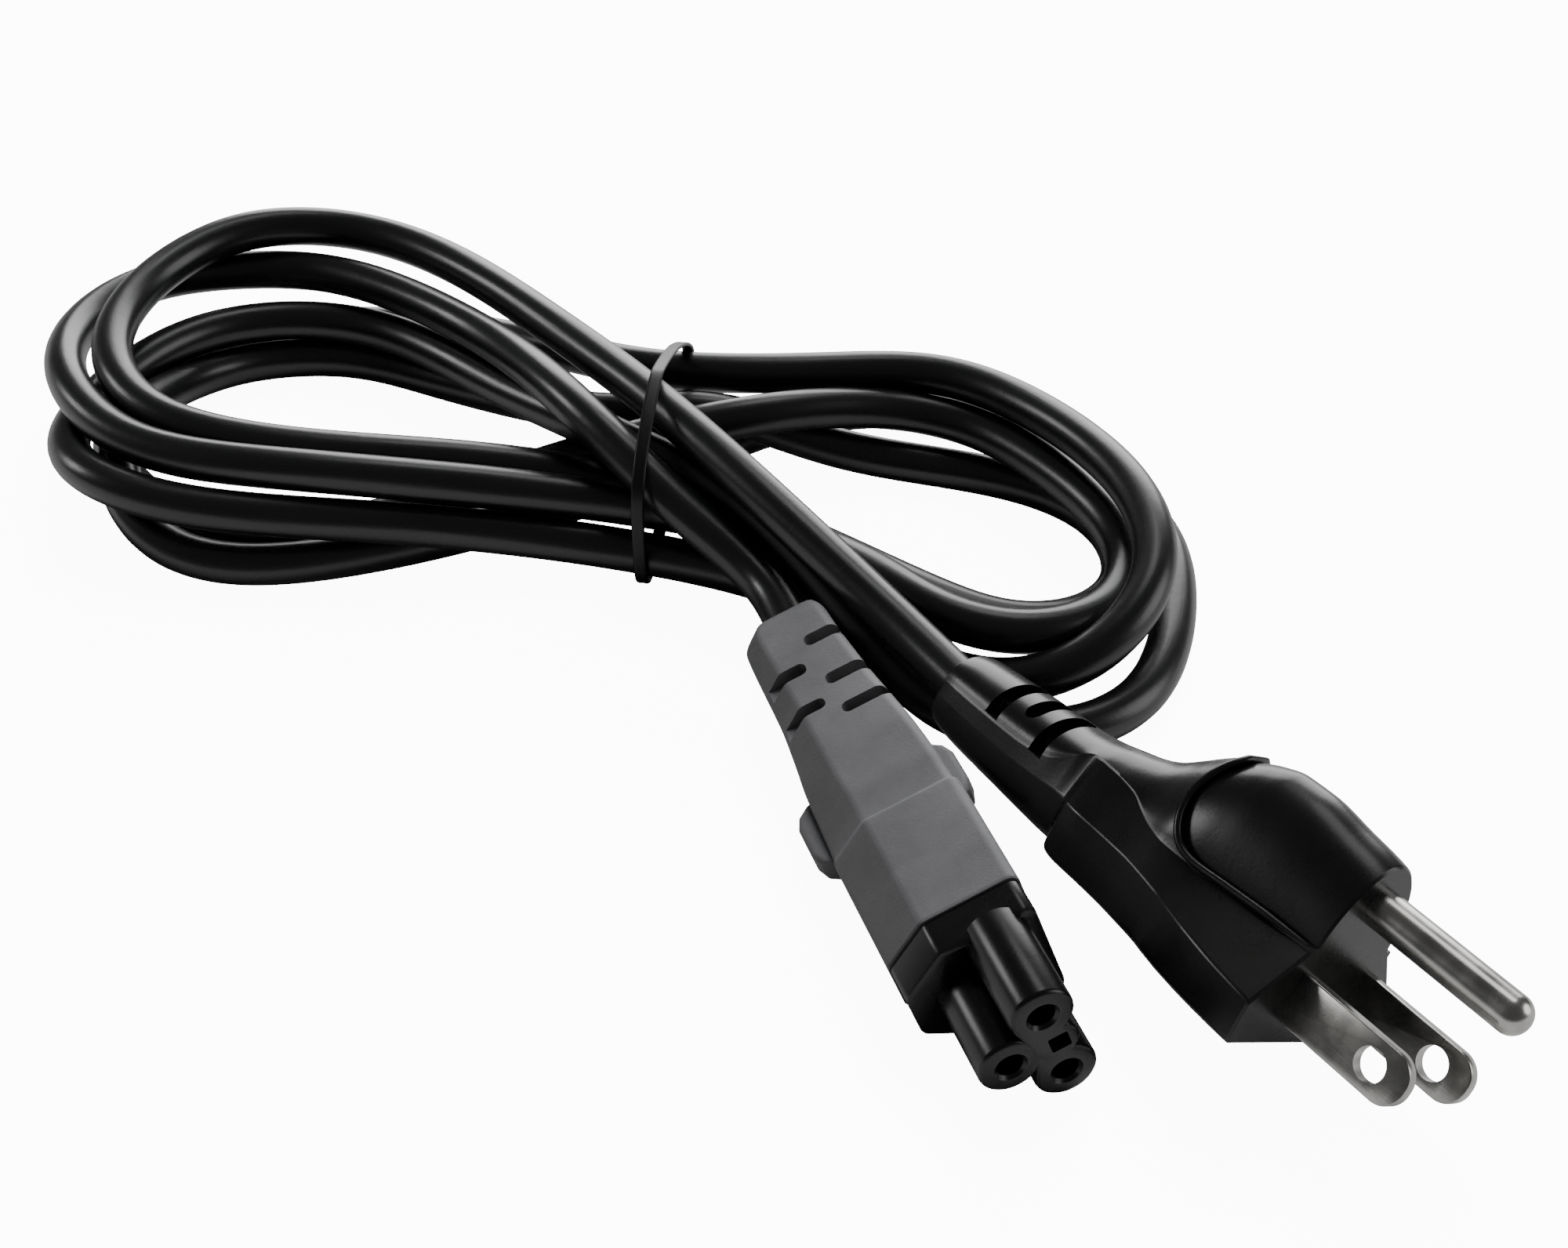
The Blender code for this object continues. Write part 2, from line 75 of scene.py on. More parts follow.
# The connector: the middle of its front, its heading and its roll.
CONNECTOR_NOSE = (44.9, -80.1, 8.9)
CONNECTOR_HEADING = -71.2
CONNECTOR_ROLL = -20.0
GRIP_FRONT = -17.3
LOBE_RADIUS = 3.8
WEB_CENTRE, WEB_RADIUS = (3.3, 0.0), 3.0
LEAF_MIDDLE = (1.2, 0.0)       # the point that the cloverleaf's outline is seen from
LEAF_BLEND = 14                # a higher power makes sharper valleys
CONTACT_HOLE_RADIUS = 1.6
CONTACT_DEPTH = 9.0
LINE_CONTACT = (3.2, 5.2)
NEUTRAL_CONTACT = (3.2, -5.2)
EARTH_CONTACT = (-2.2, 0.0)
MOUTH_DEPTH, MOUTH_FLARE = 0.45, 0.45
KEYWAY = (2.6, 5.0, 1.2)       # from, to, and half its width
KEYWAY_DEPTH = 3.0

# The tie: its place in the hank, its heading, and its section.
TIE_CENTRE = (0.8, 39.5)
TIE_HEADING = -7.4
TIE_HALF_WIDTH = 0.95
TIE_HALF_THICKNESS = 0.4

# The cord's route, from the plug to the connector: x, y and the height of its middle line.
ROUTE = (
    # out of the plug and over the hank to the first left turn
    (41.4, -20.5, 12.5), (33.6, -8.9, 13.5), (3.5, 28, 22), (-15.5, 55, 20.5), (-35.5, 79.5, 19.5),
    (-53, 90, 19.5), (-70.5, 87.5, 20.5), (-83, 73.5, 18.5), (-84.5, 53.5, 18), (-74.5, 37.5, 16.5),
    (-54.5, 31.5, 15), (-22.5, 30.5, 13),
    # down through the tie to the lowest right turn
    (10, 31, 5), (35, 11, 5.5), (48.5, 3.5, 4.5), (60, 6, 3.6), (67, 16, 3.1), (65, 30.5, 3.1),
    (53, 41, 3.1), (27, 47, 4), (8, 48.5, 11), (-9, 51, 8),
    # second left turn, on the floor
    (-34.5, 67.5, 3.5), (-52, 76.5, 3.1), (-68.5, 73.5, 4), (-77.5, 64, 5.5), (-81, 47, 10),
    (-80, 32.5, 8), (-72, 22.5, 4), (-58, 18.5, 3.1), (-34.5, 24.5, 3.1), (-4, 38.5, 4.5),
    # widest right turn, on the floor
    (20, 57.5, 4), (42, 60, 3.5), (60.5, 48.5, 3.5), (73, 27, 4), (73, 7.5, 4), (66.5, -11.5, 3.5),
    (54.5, -18.5, 3.1), (40.5, -15.5, 3.1), (29, -3, 7.5), (14.5, 17, 13.5), (-4, 31.5, 15.5),
    # third left turn
    (-25, 53.5, 11.5), (-44, 73.5, 9.5), (-61.5, 78, 9.5), (-77.5, 70.5, 10.5), (-88, 52, 10),
    (-88, 36.5, 11.5), (-79.5, 26, 12.5), (-65, 21.5, 11), (-35.5, 21, 9), (-7.5, 21, 5),
    # third right turn, climbing over the one below
    (20.5, 12, 4), (36, -3, 3.1), (48.5, -11, 5.5), (60, -10, 10), (68.5, 0.5, 15), (67.5, 18, 17),
    (56.5, 40, 15.5), (41.5, 53.5, 14.5), (20, 54.5, 13.5), (-2.5, 57, 12.5),
    # fourth left turn, back down to the floor
    (-24, 73.5, 8), (-49, 86.5, 3.5), (-70.5, 83.5, 3.1), (-84, 68, 3.1), (-86, 49.5, 3.1),
    (-76.5, 35, 3.1), (-62.5, 26, 3.1), (-43, 28.5, 3.5), (-14.5, 40, 7.5),
    # fourth right turn
    (13.5, 43, 13.5), (33, 49.5, 10.5), (45, 47, 9.5), (54.5, 37.5, 10), (66.5, 17, 9.5),
    (63.5, 1, 9.5), (52.5, -6, 10), (40.5, -3.5, 10.5), (29, 9.5, 10), (12, 22.5, 8),
    # last left turn, over the others, and down to the connector
    (-16.5, 24.5, 12), (-48.5, 24, 16), (-75.5, 30.5, 15.5), (-89.5, 46.5, 17), (-92.5, 66.5, 15),
    (-85, 81, 14.5), (-70, 87, 13.5), (-52, 81.5, 15.5), (-28.5, 61.5, 16.5), (-12, 33, 21.5),
    (3, 17, 15), (15.3, 6.9, 9.5), (19.2, -4.5, 8.9),
)

# The plug's moulding at distances behind its face: half width and height of the bottom edge, of the wing's
# upper edge and of the rim, the height of the crown, and two powers of the curve that goes over the top from
# one rim to the other: 2 and 2 is an ellipse, a first number above 2 is squarer, and 1 as the second leaves
# the rim a crest.
PLUG_SECTIONS = (
    (-64.7, 4.6, -4.5, 4.8, -1.0, 4.75, 0.9, 4.6, 2.1, 2.0),
    (-64.2, 5.1, -5.0, 5.3, -1.0, 5.25, 1.0, 5.1, 2.1, 2.0),
    (-60.0, 5.6, -5.5, 5.8, -1.0, 5.75, 1.1, 5.7, 2.1, 2.0),
    (-50.0, 6.1, -5.9, 6.3, -0.8, 6.25, 1.4, 6.5, 2.1, 2.0),
    (-44.0, 6.4, -6.1, 6.6, -0.4, 6.4, 2.4, 6.9, 2.2, 1.9),
    (-40.5, 6.5, -6.2, 6.7, 0.0, 5.9, 4.7, 7.5, 2.3, 1.3),
    (-38.6, 6.5, -6.2, 6.8, 0.1, 5.4, 6.0, 8.0, 2.2, 1.0),
    (-36.8, 8.1, -6.5, 8.3, 0.4, 5.5, 6.2, 8.5, 2.2, 1.0),
    (-34.0, 8.5, -6.6, 8.7, 0.4, 5.7, 6.2, 9.3, 2.1, 1.0),
    (-31.0, 8.6, -6.6, 8.8, 0.4, 6.1, 6.0, 10.6, 2.0, 1.0),
    (-28.0, 8.8, -6.6, 9.0, 0.4, 6.8, 5.0, 12.8, 2.0, 1.1),
    (-26.0, 9.0, -6.6, 9.2, 0.4, 7.3, 4.5, 14.4, 2.0, 1.3),
    (-23.0, 9.5, -6.6, 9.7, 0.3, 7.9, 4.2, 16.5, 2.0, 1.7),
    (-19.0, 10.3, -6.6, 10.5, 0.1, 8.1, 4.3, 18.3, 2.0, 2.0),
    (-16.0, 11.3, -6.6, 11.5, 0.0, 8.1, 4.5, 19.2, 2.0, 2.0),
    (-12.0, 12.4, -6.6, 12.6, -0.2, 8.1, 4.8, 19.3, 2.0, 2.0),
    (-6.0, 13.4, -6.6, 13.6, -0.6, 8.1, 5.2, 18.6, 2.0, 2.0),
    (-0.3, 13.8, -6.6, 14.0, -1.0, 8.1, 5.5, 17.8, 2.0, 2.0),
    (0.0, 13.5, -6.3, 13.7, -1.3, 7.8, 5.2, 17.5, 2.0, 2.0),
)

# How round the moulding's corners are on the relief, and how much of that the broad wings lose: the bottom
# edge, the wing's upper edge, the rim, and a corner above it that the curve over the top replaces.
RELIEF_ROUNDING = (2.9, 2.6, 1.6, 0.5)
WING_LOSES = (1.9, 1.8, 1.15, 0.0)
PLUG_RINGS = 130

# The pin's housing: distance, half width at its foot and height of its crown.
HOUSING_SECTIONS = (
    (-27.5, 6.2, 12.2), (-25.0, 6.6, 14.3), (-23.0, 7.0, 15.8), (-19.0, 7.2, 17.8), (-16.0, 7.2, 18.6),
    (-12.0, 7.2, 18.7), (-6.0, 7.2, 18.0), (-0.3, 7.2, 17.2), (0.0, 6.9, 16.9),
)
HOUSING_FOOT = 4.0
HOUSING_RINGS = 60

# Seen from the side, the edge of the moulding round the housing: along its foot and up round its back.
HOOD_EDGE = (
    (6.0, 6.5), (-2.0, 6.0), (-8.0, 5.6), (-13.3, 5.2), (-18.5, 4.9), (-21.2, 5.7), (-23.2, 8.0),
    (-24.1, 11.0), (-23.6, 14.0), (-22.2, 17.0), (-20.5, 22.0),
)
HOOD_CORNER = (6.0, 24.0)      # above and in front of the moulding, where the cutter ends
HOOD_HALF_WIDTH = 12.0
LIP_RADIUS = 0.5
LIP_START = -0.6               # just behind the face

# The plug's relief: where each slot is and how far the upper one reaches to the near side, and the slots that
# go on down that side.
PLUG_SLOTS = ((-54.6, -9.0), (-50.2, -5.2), (-45.8, -9.0))
PLUG_SIDE_SLOTS = (-54.6, -45.8)
PLUG_SLOT_HALF = 1.15

# The connector's grip at distances behind the nose: its left and right sides, half its height, and how far in
# and down the cut corners reach.
GRIP_SECTIONS = (
    (-79.5, -5.2, 4.4, 4.4, 2.0, 2.0),
    (-79.0, -5.7, 4.8, 4.8, 2.2, 2.2),
    (-76.5, -6.9, 5.3, 5.4, 2.6, 2.4),
    (-72.0, -7.1, 5.5, 5.6, 2.8, 2.6),
    (-62.0, -7.3, 6.3, 5.9, 3.2, 2.9),
    (-54.0, -7.9, 7.1, 6.8, 3.8, 3.5),
    (-48.0, -8.5, 7.7, 7.3, 4.4, 3.9),
    (-42.0, -8.8, 8.1, 7.2, 4.9, 4.0),
    (-38.0, -9.0, 8.25, 6.9, 5.2, 3.9),
    (-36.6, -9.1, 8.35, 6.95, 5.2, 3.9),
    (-35.2, -9.3, 8.6, 8.05, 5.6, 4.3),
    (-34.0, -9.3, 8.6, 8.1, 5.6, 4.3),
    (-17.5, -9.3, 8.6, 8.1, 5.6, 4.3),
    (GRIP_FRONT, -9.2, 8.5, 8.0, 5.6, 4.3),
)
GRIP_ROUNDING = (1.3, 1.3, 1.5, 1.5, 1.5, 1.5)
GRIP_RINGS = 120

# The finger lugs: distance and how far each stands out, where they start on the near and the far side, how deep
# they are sunk there, and their edges in height.
LUG_SECTIONS = (
    (-48.0, 0.2), (-47.6, 1.4), (-46.6, 2.6), (-45.0, 3.2),
    (-40.0, 3.2), (-38.2, 2.6), (-37.3, 1.5), (-37.0, 0.3),
)
LUG_SIDES = ((-1, 8.0), (1, 7.0))
LUG_DEPTH = 3.0
LUG_LOW, LUG_HIGH = -1.7, 2.1

# The grip's relief: where each slot is and from where to where it goes across, and the slots in its near side.
GRIP_SLOTS = (
    (-70.8, (0.6, 6.0)), (-66.4, (-10.0, -0.8)), (-62.2, (0.6, 7.0)),
    (-58.6, (-10.0, -0.8)), (-55.4, (0.6, 7.0)),
)
GRIP_SIDE_SLOTS = (-70.8, -62.2, -55.4)
GRIP_SLOT_HALF = 1.1

# The shoulder behind the nose: distance, and how much smaller than the grip's front it is. The nose: distance,
# and how far its outline is drawn in.
SHOULDER_SECTIONS = ((-17.0, 0.35), (-16.9, 0.2), (-12.7, 0.2), (-12.25, 0.35), (-12.0, 0.8))
NOSE_SECTIONS = ((-13.5, 0.0), (-0.6, 0.0), (-0.3, 0.08), (-0.1, 0.28), (0.0, 0.6))

# Across the hank and up, seen along it, round the bundle under the tie.
TIE_PATH = (
    (20.4, 13.3), (19.2, 15.8), (8.8, 22.0), (-4.0, 26.1), (-6.6, 26.4), (-14.5, 24.2), (-21.5, 20.2),
    (-24.0, 16.5), (-24.0, 4.8), (-23.4, 2.6), (-21.4, 0.9), (-8.0, 0.7), (5.9, 0.8), (12.9, 4.3),
    (19.2, 10.0), (20.4, 12.2),
)

# The lamps: elevation, azimuth, strength and how wide each looks.
LAMPS = (
    ("overhead", 62.0, 72.0, 4.6, 34.0),
    ("top_gloss", 62.0, 80.0, 0.3, 20.0),
    ("back", 14.0, 82.0, 3.3, 50.0),
    ("left_gloss", 22.0, 164.0, 0.55, 15.0),
    ("right_fill", 22.0, -5.0, 1.0, 40.0),
)
FLOOR_HALF_WIDTH = 4.0         # metres
FLOOR_GLOW = 11.0              # the floor and the background as the camera sees them
BACKGROUND_GLOW = 12.6
BACKGROUND_LIGHT = 0.1         # the background as the object sees it

CAMERA_PLACE = (18.15, -254.5, 203.0)
CAMERA_TILT = 52.4
FOCAL_LENGTH = 54.0
SENSOR_WIDTH = 36.0


def unit(vectors):
    """Every vector of the array divided by its own length."""
    return vectors / (np.linalg.norm(vectors, axis=-1, keepdims=True) + 1e-12)


def smooth_line(points, per_step, closed=False):
    """A smooth curve through all the points: each step between two of them is a cubic whose parameter grows
    with the square root of the distance, so that close points make no loops. All steps are worked out at
    once."""
    points = np.array(points, float)
    if closed:
        points = np.vstack([points[-1], points, points[:2]])
    else:
        points = np.vstack([2 * points[0] - points[1], points, 2 * points[-1] - points[-2]])
    a, b, c, d = (points[start:len(points) - 3 + start, None] for start in range(4))
    first = np.linalg.norm(b - a, axis=-1, keepdims=True) ** 0.5
    second = first + np.linalg.norm(c - b, axis=-1, keepdims=True) ** 0.5
    third = second + np.linalg.norm(d - c, axis=-1, keepdims=True) ** 0.5
    t = first + (second - first) * (np.arange(per_step) / per_step)[None, :, None]
    ab = ((first - t) * a + t * b) / first
    bc = ((second - t) * b + (t - first) * c) / (second - first)
    cd = ((third - t) * c + (t - second) * d) / (third - second)
    abc = ((second - t) * ab + t * bc) / second
    bcd = ((third - t) * bc + (t - first) * cd) / (third - first)
    line = (((second - t) * abc + (t - first) * bcd) / (second - first)).reshape(-1, points.shape[1])
    return line if closed else np.vstack([line, points[-2]])


def relaxed(line, passes, floor):
    """The line with each inner point moved to the mean of itself and its neighbours, again and again, which
    evens out its bends. No point goes below the floor height."""
    line = line.copy()
    for _ in range(passes):
        line[1:-1] = 0.5 * line[1:-1] + 0.25 * (line[:-2] + line[2:])
        line[:, 2] = np.maximum(line[:, 2], floor)
    return line


def between(stations, values, at):
    """Values at the places 'at' from a table of stations, on cubics that never rise above or fall below the
    table's own values between two rows: the slope at a row is the harmonic mean of the slopes beside it, or
    nothing where they change sign."""
    step = np.diff(stations)[:, None]
    slope = np.diff(values, axis=0) / step
    together = slope[:-1] * slope[1:]
    inner = np.where(together > 0, 2 * together / np.where(together > 0, slope[:-1] + slope[1:], 1.0), 0.0)
    slopes = np.vstack([slope[:1], inner, slope[-1:]])
    row = np.clip(np.searchsorted(stations, at, side="right") - 1, 0, len(stations) - 2)
    t = ((at - stations[row]) / step[row, 0])[:, None]
    low, high = values[row], values[row + 1]
    rise = step[row]
    return (
        low * (1 + 2 * t) * (1 - t) ** 2
        + rise * slopes[row] * t * (1 - t) ** 2
        + high * t**2 * (3 - 2 * t)
        + rise * slopes[row + 1] * t**2 * (t - 1)
    )


def measured(sections, rings):
    """Distances along a piece, evenly spaced and at the rows of its table, and the table's measures at each."""
    rows = np.array(sections)
    stations = np.unique(np.concatenate([np.linspace(rows[0, 0], rows[-1, 0], rings), rows[:, 0]]))
    return stations, between(rows[:, 0], rows[:, 1:], stations)


def rounded(corners, radii, steps):
    """Outlines with their corners rounded. corners is rows x corners x 2, anticlockwise. Each corner becomes an
    arc that touches both of its sides: its centre lies on the corner's bisector at the radius over the sine of
    half the corner's angle."""
    before = unit(np.roll(corners, 1, axis=1) - corners)
    after = unit(np.roll(corners, -1, axis=1) - corners)
    half = 0.5 * np.arccos(np.clip((before * after).sum(-1, keepdims=True), -0.999999, 0.999999))
    radii = np.broadcast_to(np.asarray(radii, float), corners.shape[:2])[..., None]
    centre = corners + unit(before + after) * radii / np.sin(half)
    start = corners + before * radii / np.tan(half) - centre
    end = corners + after * radii / np.tan(half) - centre
    sweep = np.arctan2(start[..., 0] * end[..., 1] - start[..., 1] * end[..., 0], (start * end).sum(-1))
    angle = sweep[..., None] * np.linspace(0, 1, steps + 1)
    y = start[..., :1] * np.cos(angle) - start[..., 1:] * np.sin(angle) + centre[..., :1]
    z = start[..., :1] * np.sin(angle) + start[..., 1:] * np.cos(angle) + centre[..., 1:]
    rows = len(corners)
    return np.stack([y.reshape(rows, -1), z.reshape(rows, -1)], axis=-1)


def along(stations, outlines):
    """Rings of points from outlines across and their distances along a piece."""
    distance = np.broadcast_to(np.asarray(stations, float)[:, None, None], (*outlines.shape[:2], 1))
    return np.concatenate([distance, outlines], axis=-1)


def circles(stations, centre, radii, count):
    """Rings round the long axis: one circle of each radius at each distance."""
    angle = 2 * math.pi * np.arange(count) / count
    radii = np.broadcast_to(np.asarray(radii, float), (len(stations),))[:, None]
    outline = np.stack([centre[0] + radii * np.cos(angle), centre[1] + radii * np.sin(angle)], axis=-1)
    return along(stations, outline)


def box(x, y, z, radius):
    """Rings of a straight block between the given limits, with rounded corners seen along x."""
    corners = np.array([[(y[0], z[0]), (y[1], z[0]), (y[1], z[1]), (y[0], z[1])]], float)
    return along(x, np.repeat(rounded(corners, radius, 6), len(x), axis=0))


def into_place(points, position, heading, roll):
    """Points drawn along +X, rolled about that axis, turned about the vertical and moved to their place."""
    turn, lean = math.radians(heading), -math.radians(roll)
    about_z = np.array(
        [[math.cos(turn), -math.sin(turn), 0], [math.sin(turn), math.cos(turn), 0], [0, 0, 1]]
    )
    about_x = np.array(
        [[1, 0, 0], [0, math.cos(lean), -math.sin(lean)], [0, math.sin(lean), math.cos(lean)]]
    )
    return points @ (about_z @ about_x).T + np.array(position, float)


def on_plug(points):
    """Points drawn from the plug's face, in their place."""
    return into_place(points, PLUG_FACE, PLUG_HEADING, PLUG_ROLL)


def on_connector(points):
    """Points drawn from the connector's front, in their place."""
    return into_place(points, CONNECTOR_NOSE, CONNECTOR_HEADING, CONNECTOR_ROLL)


def skin(name, shells, closed_along=False):
    """One mesh object from one or more shells. A shell is a grid of points, rows x columns x 3, skinned with
    four-sided faces, closed round each row, and capped on its first and last row or joined end to end."""
    points, faces, used = [], [], 0
    for grid in shells:
        rows, columns = grid.shape[:2]
        index = used + np.arange(rows * columns).reshape(rows, columns)
        ahead = np.roll(index, -1, axis=0) if closed_along else index[1:]
        here = index if closed_along else index[:-1]
        quads = np.stack([here, np.roll(here, -1, 1), np.roll(ahead, -1, 1), ahead], axis=-1)
        faces += quads.reshape(-1, 4).tolist()
        if not closed_along:
            faces += [index[0, ::-1].tolist(), index[-1].tolist()]
        points.append(grid.reshape(-1, 3))
        used += rows * columns
    mesh = bpy.data.meshes.new(name)
    mesh.from_pydata((np.vstack(points) * MM).tolist(), [], faces)
    mesh.update()
    made = bpy.data.objects.new(name, mesh)
    bpy.context.scene.collection.objects.link(made)
    return made


def combine(piece, name, shells, operation):
    """Cuts the closed shells out of the piece, or joins them to it, and keeps the result as its mesh."""
    other = skin(name, shells)
    change = piece.modifiers.new(name, "BOOLEAN")
    change.operation = operation
    change.solver = "EXACT"
    change.use_self = operation == "UNION"
    change.object = other
    graph = bpy.context.evaluated_depsgraph_get()
    result = bpy.data.meshes.new_from_object(piece.evaluated_get(graph))
    piece.modifiers.clear()
    piece.data = result
    bpy.data.objects.remove(other)


def gather(piece, shells):
    """Adds closed shells to the piece's mesh as they are, half sunk in its surface."""
    other = skin("shells", shells)
    both = bmesh.new()
    both.from_mesh(piece.data)
    both.from_mesh(other.data)
    both.to_mesh(piece.data)
    both.free()
    bpy.data.objects.remove(other)


def finish(piece, look, record_slot, *nodes, sharp=32.0):
    """Smooth shading up to real edges and the finish; the piece goes under the root body, and the CAD nodes
    that it stands for are hidden.
    """
    piece.data.materials.clear()
    piece.data.materials.append(look)
    piece.data.polygons.foreach_set("use_smooth", np.ones(len(piece.data.polygons), bool))
    piece.data.set_sharp_from_angle(angle=math.radians(sharp))
    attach(piece, "root")
    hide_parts(*nodes)
    return piece


def linear(code):
    """An sRGB hex colour as linear red, green, blue and alpha."""
    channels = np.array([int(code[at:at + 2], 16) for at in (1, 3, 5)]) / 255
    low = channels / 12.92
    high = ((channels + 0.055) / 1.055) ** 2.4
    return (*np.where(channels <= 0.04045, low, high).tolist(), 1.0)


def add(tree, kind, inputs=None, **settings):
    """A shader node with its settings. An input is a constant or another node's output."""
    made = tree.nodes.new(kind)
    for key, value in settings.items():
        setattr(made, key, value)
    for key, value in (inputs or {}).items():
        if isinstance(value, bpy.types.NodeSocket):
            tree.links.new(value, made.inputs[key])
        else:
            made.inputs[key].default_value = value
    return made


def new_material(name):
    """An empty node tree and its output."""
    made = bpy.data.materials.new(name)
    made.use_nodes = True
    made.node_tree.nodes.clear()
    return made, made.node_tree, add(made.node_tree, "ShaderNodeOutputMaterial")


def extruded_pvc():
    """Extruded soft PVC, black: a glossy skin whose long highlights waver a little with the cores' slow twist,
    with fine draw lines along it and a faint orange peel."""
    made, tree, out = new_material("extruded black PVC")
    run = add(tree, "ShaderNodeUVMap", uv_map="run")
    split = add(tree, "ShaderNodeSeparateXYZ", {"Vector": run.outputs["UV"]})
    # the first coordinate counts turns of the cores' lay, the second goes once round the cord
    ridge = add(tree, "ShaderNodeMath", {0: split.outputs["Y"], 1: float(CORES), 2: split.outputs["X"]},
                operation="MULTIPLY_ADD")
    turns = add(tree, "ShaderNodeMath", {0: ridge.outputs[0], 1: 2 * math.pi}, operation="MULTIPLY")
    wave = add(tree, "ShaderNodeMath", {0: turns.outputs[0]}, operation="SINE")
    # 22 draw lines round the cord, each 28 mm long
    drawn = add(tree, "ShaderNodeMapping", {"Vector": run.outputs["UV"], "Scale": (1.5, 22.0, 1.0)})
    lines = add(tree, "ShaderNodeTexNoise", {"Vector": drawn.outputs["Vector"], "Scale": 1.0, "Detail": 3.0})
    place = add(tree, "ShaderNodeTexCoord")
    # orange peel of 1.2 mm, and duller and glossier patches of 14 mm
    peel = add(tree, "ShaderNodeTexNoise",
               {"Vector": place.outputs["Object"], "Scale": 850.0, "Detail": 3.0, "Roughness": 0.55})
    patches = add(tree, "ShaderNodeTexNoise",
                  {"Vector": place.outputs["Object"], "Scale": 70.0, "Detail": 2.0})
    gloss = add(tree, "ShaderNodeMapRange", {"Value": patches.outputs["Fac"], "To Min": 0.27, "To Max": 0.38})
    first = add(tree, "ShaderNodeBump", {"Height": wave.outputs[0], "Strength": 1.0, "Distance": 0.03 * MM})
    second = add(tree, "ShaderNodeBump", {"Height": lines.outputs["Fac"], "Strength": 0.6,
                                          "Distance": 0.04 * MM, "Normal": first.outputs["Normal"]})
    third = add(tree, "ShaderNodeBump", {"Height": peel.outputs["Fac"], "Strength": 0.5,
                                         "Distance": 0.04 * MM, "Normal": second.outputs["Normal"]})
    tone = add(tree, "ShaderNodeValToRGB", {"Fac": patches.outputs["Fac"]})
    tone.color_ramp.elements[0].color = linear("#060606")
    tone.color_ramp.elements[1].color = linear("#0c0c0d")
    shader = add(tree, "ShaderNodeBsdfPrincipled", {
        "Base Color": tone.outputs["Color"],
        "Roughness": gloss.outputs["Result"],
        "IOR": 1.56,
        "Normal": third.outputs["Normal"],
    })
    tree.links.new(shader.outputs["BSDF"], out.inputs["Surface"])
    return made


def moulded_plastic(name, dark, light, rough, grain, grain_depth, ior):
    """Injection-moulded plastic: the grain of the eroded steel mould makes its sheen, and handling makes that
    sheen uneven in patches of 9 mm. The grain's size and depth are in millimetres."""
    made, tree, out = new_material(name)
    place = add(tree, "ShaderNodeTexCoord")
    pits = add(tree, "ShaderNodeTexNoise", {"Vector": place.outputs["Object"], "Scale": 1000.0 / grain,
                                            "Detail": 2.0, "Roughness": 0.6})
    patches = add(tree, "ShaderNodeTexNoise", {"Vector": place.outputs["Object"], "Scale": 110.0,
                                               "Detail": 4.0, "Roughness": 0.6})
    gloss = add(tree, "ShaderNodeMapRange",
                {"Value": patches.outputs["Fac"], "To Min": rough - 0.06, "To Max": rough + 0.06})
    bump = add(tree, "ShaderNodeBump", {"Height": pits.outputs["Fac"], "Strength": 0.7,
                                        "Distance": grain_depth * MM})
    tone = add(tree, "ShaderNodeValToRGB", {"Fac": patches.outputs["Fac"]})
    tone.color_ramp.elements[0].position = 0.3
    tone.color_ramp.elements[0].color = linear(dark)
    tone.color_ramp.elements[1].position = 0.7
    tone.color_ramp.elements[1].color = linear(light)
    shader = add(tree, "ShaderNodeBsdfPrincipled", {
        "Base Color": tone.outputs["Color"],
        "Roughness": gloss.outputs["Result"],
        "IOR": ior,
        "Normal": bump.outputs["Normal"],
    })
    tree.links.new(shader.outputs["BSDF"], out.inputs["Surface"])
    return made


def nickel_plate():
    """Bright nickel on stamped brass: a cool silver mirror, softened by fine roll lines along the strip and
    duller in patches of 4 mm where sockets have rubbed it."""
    made, tree, out = new_material("nickel-plated brass")
    place = add(tree, "ShaderNodeTexCoord")
    # the roll lines run the way the blades point, 0.25 mm apart
    turned = add(tree, "ShaderNodeMapping", {"Vector": place.outputs["Object"],
                                             "Rotation": (0.0, 0.0, -math.radians(PLUG_HEADING))})
    stretched = add(tree, "ShaderNodeMapping", {"Vector": turned.outputs["Vector"],
                                                "Scale": (120.0, 4000.0, 4000.0)})
    lines = add(tree, "ShaderNodeTexNoise",
                {"Vector": stretched.outputs["Vector"], "Scale": 1.0, "Detail": 2.0})
    wear = add(tree, "ShaderNodeTexNoise",
               {"Vector": place.outputs["Object"], "Scale": 260.0, "Detail": 4.0})
    gloss = add(tree, "ShaderNodeMapRange", {"Value": wear.outputs["Fac"], "To Min": 0.16, "To Max": 0.34})
    tone = add(tree, "ShaderNodeValToRGB", {"Fac": wear.outputs["Fac"]})
    tone.color_ramp.elements[0].position = 0.35
    tone.color_ramp.elements[0].color = linear("#9f9e9b")
    tone.color_ramp.elements[1].position = 0.65
    tone.color_ramp.elements[1].color = linear("#bab9b5")
    bump = add(tree, "ShaderNodeBump", {"Height": lines.outputs["Fac"], "Strength": 0.35,
                                        "Distance": 0.02 * MM})
    shader = add(tree, "ShaderNodeBsdfPrincipled", {
        "Base Color": tone.outputs["Color"],
        "Metallic": 1.0,
        "Roughness": gloss.outputs["Result"],
        "Normal": bump.outputs["Normal"],
    })
    tree.links.new(shader.outputs["BSDF"], out.inputs["Surface"])
    return made


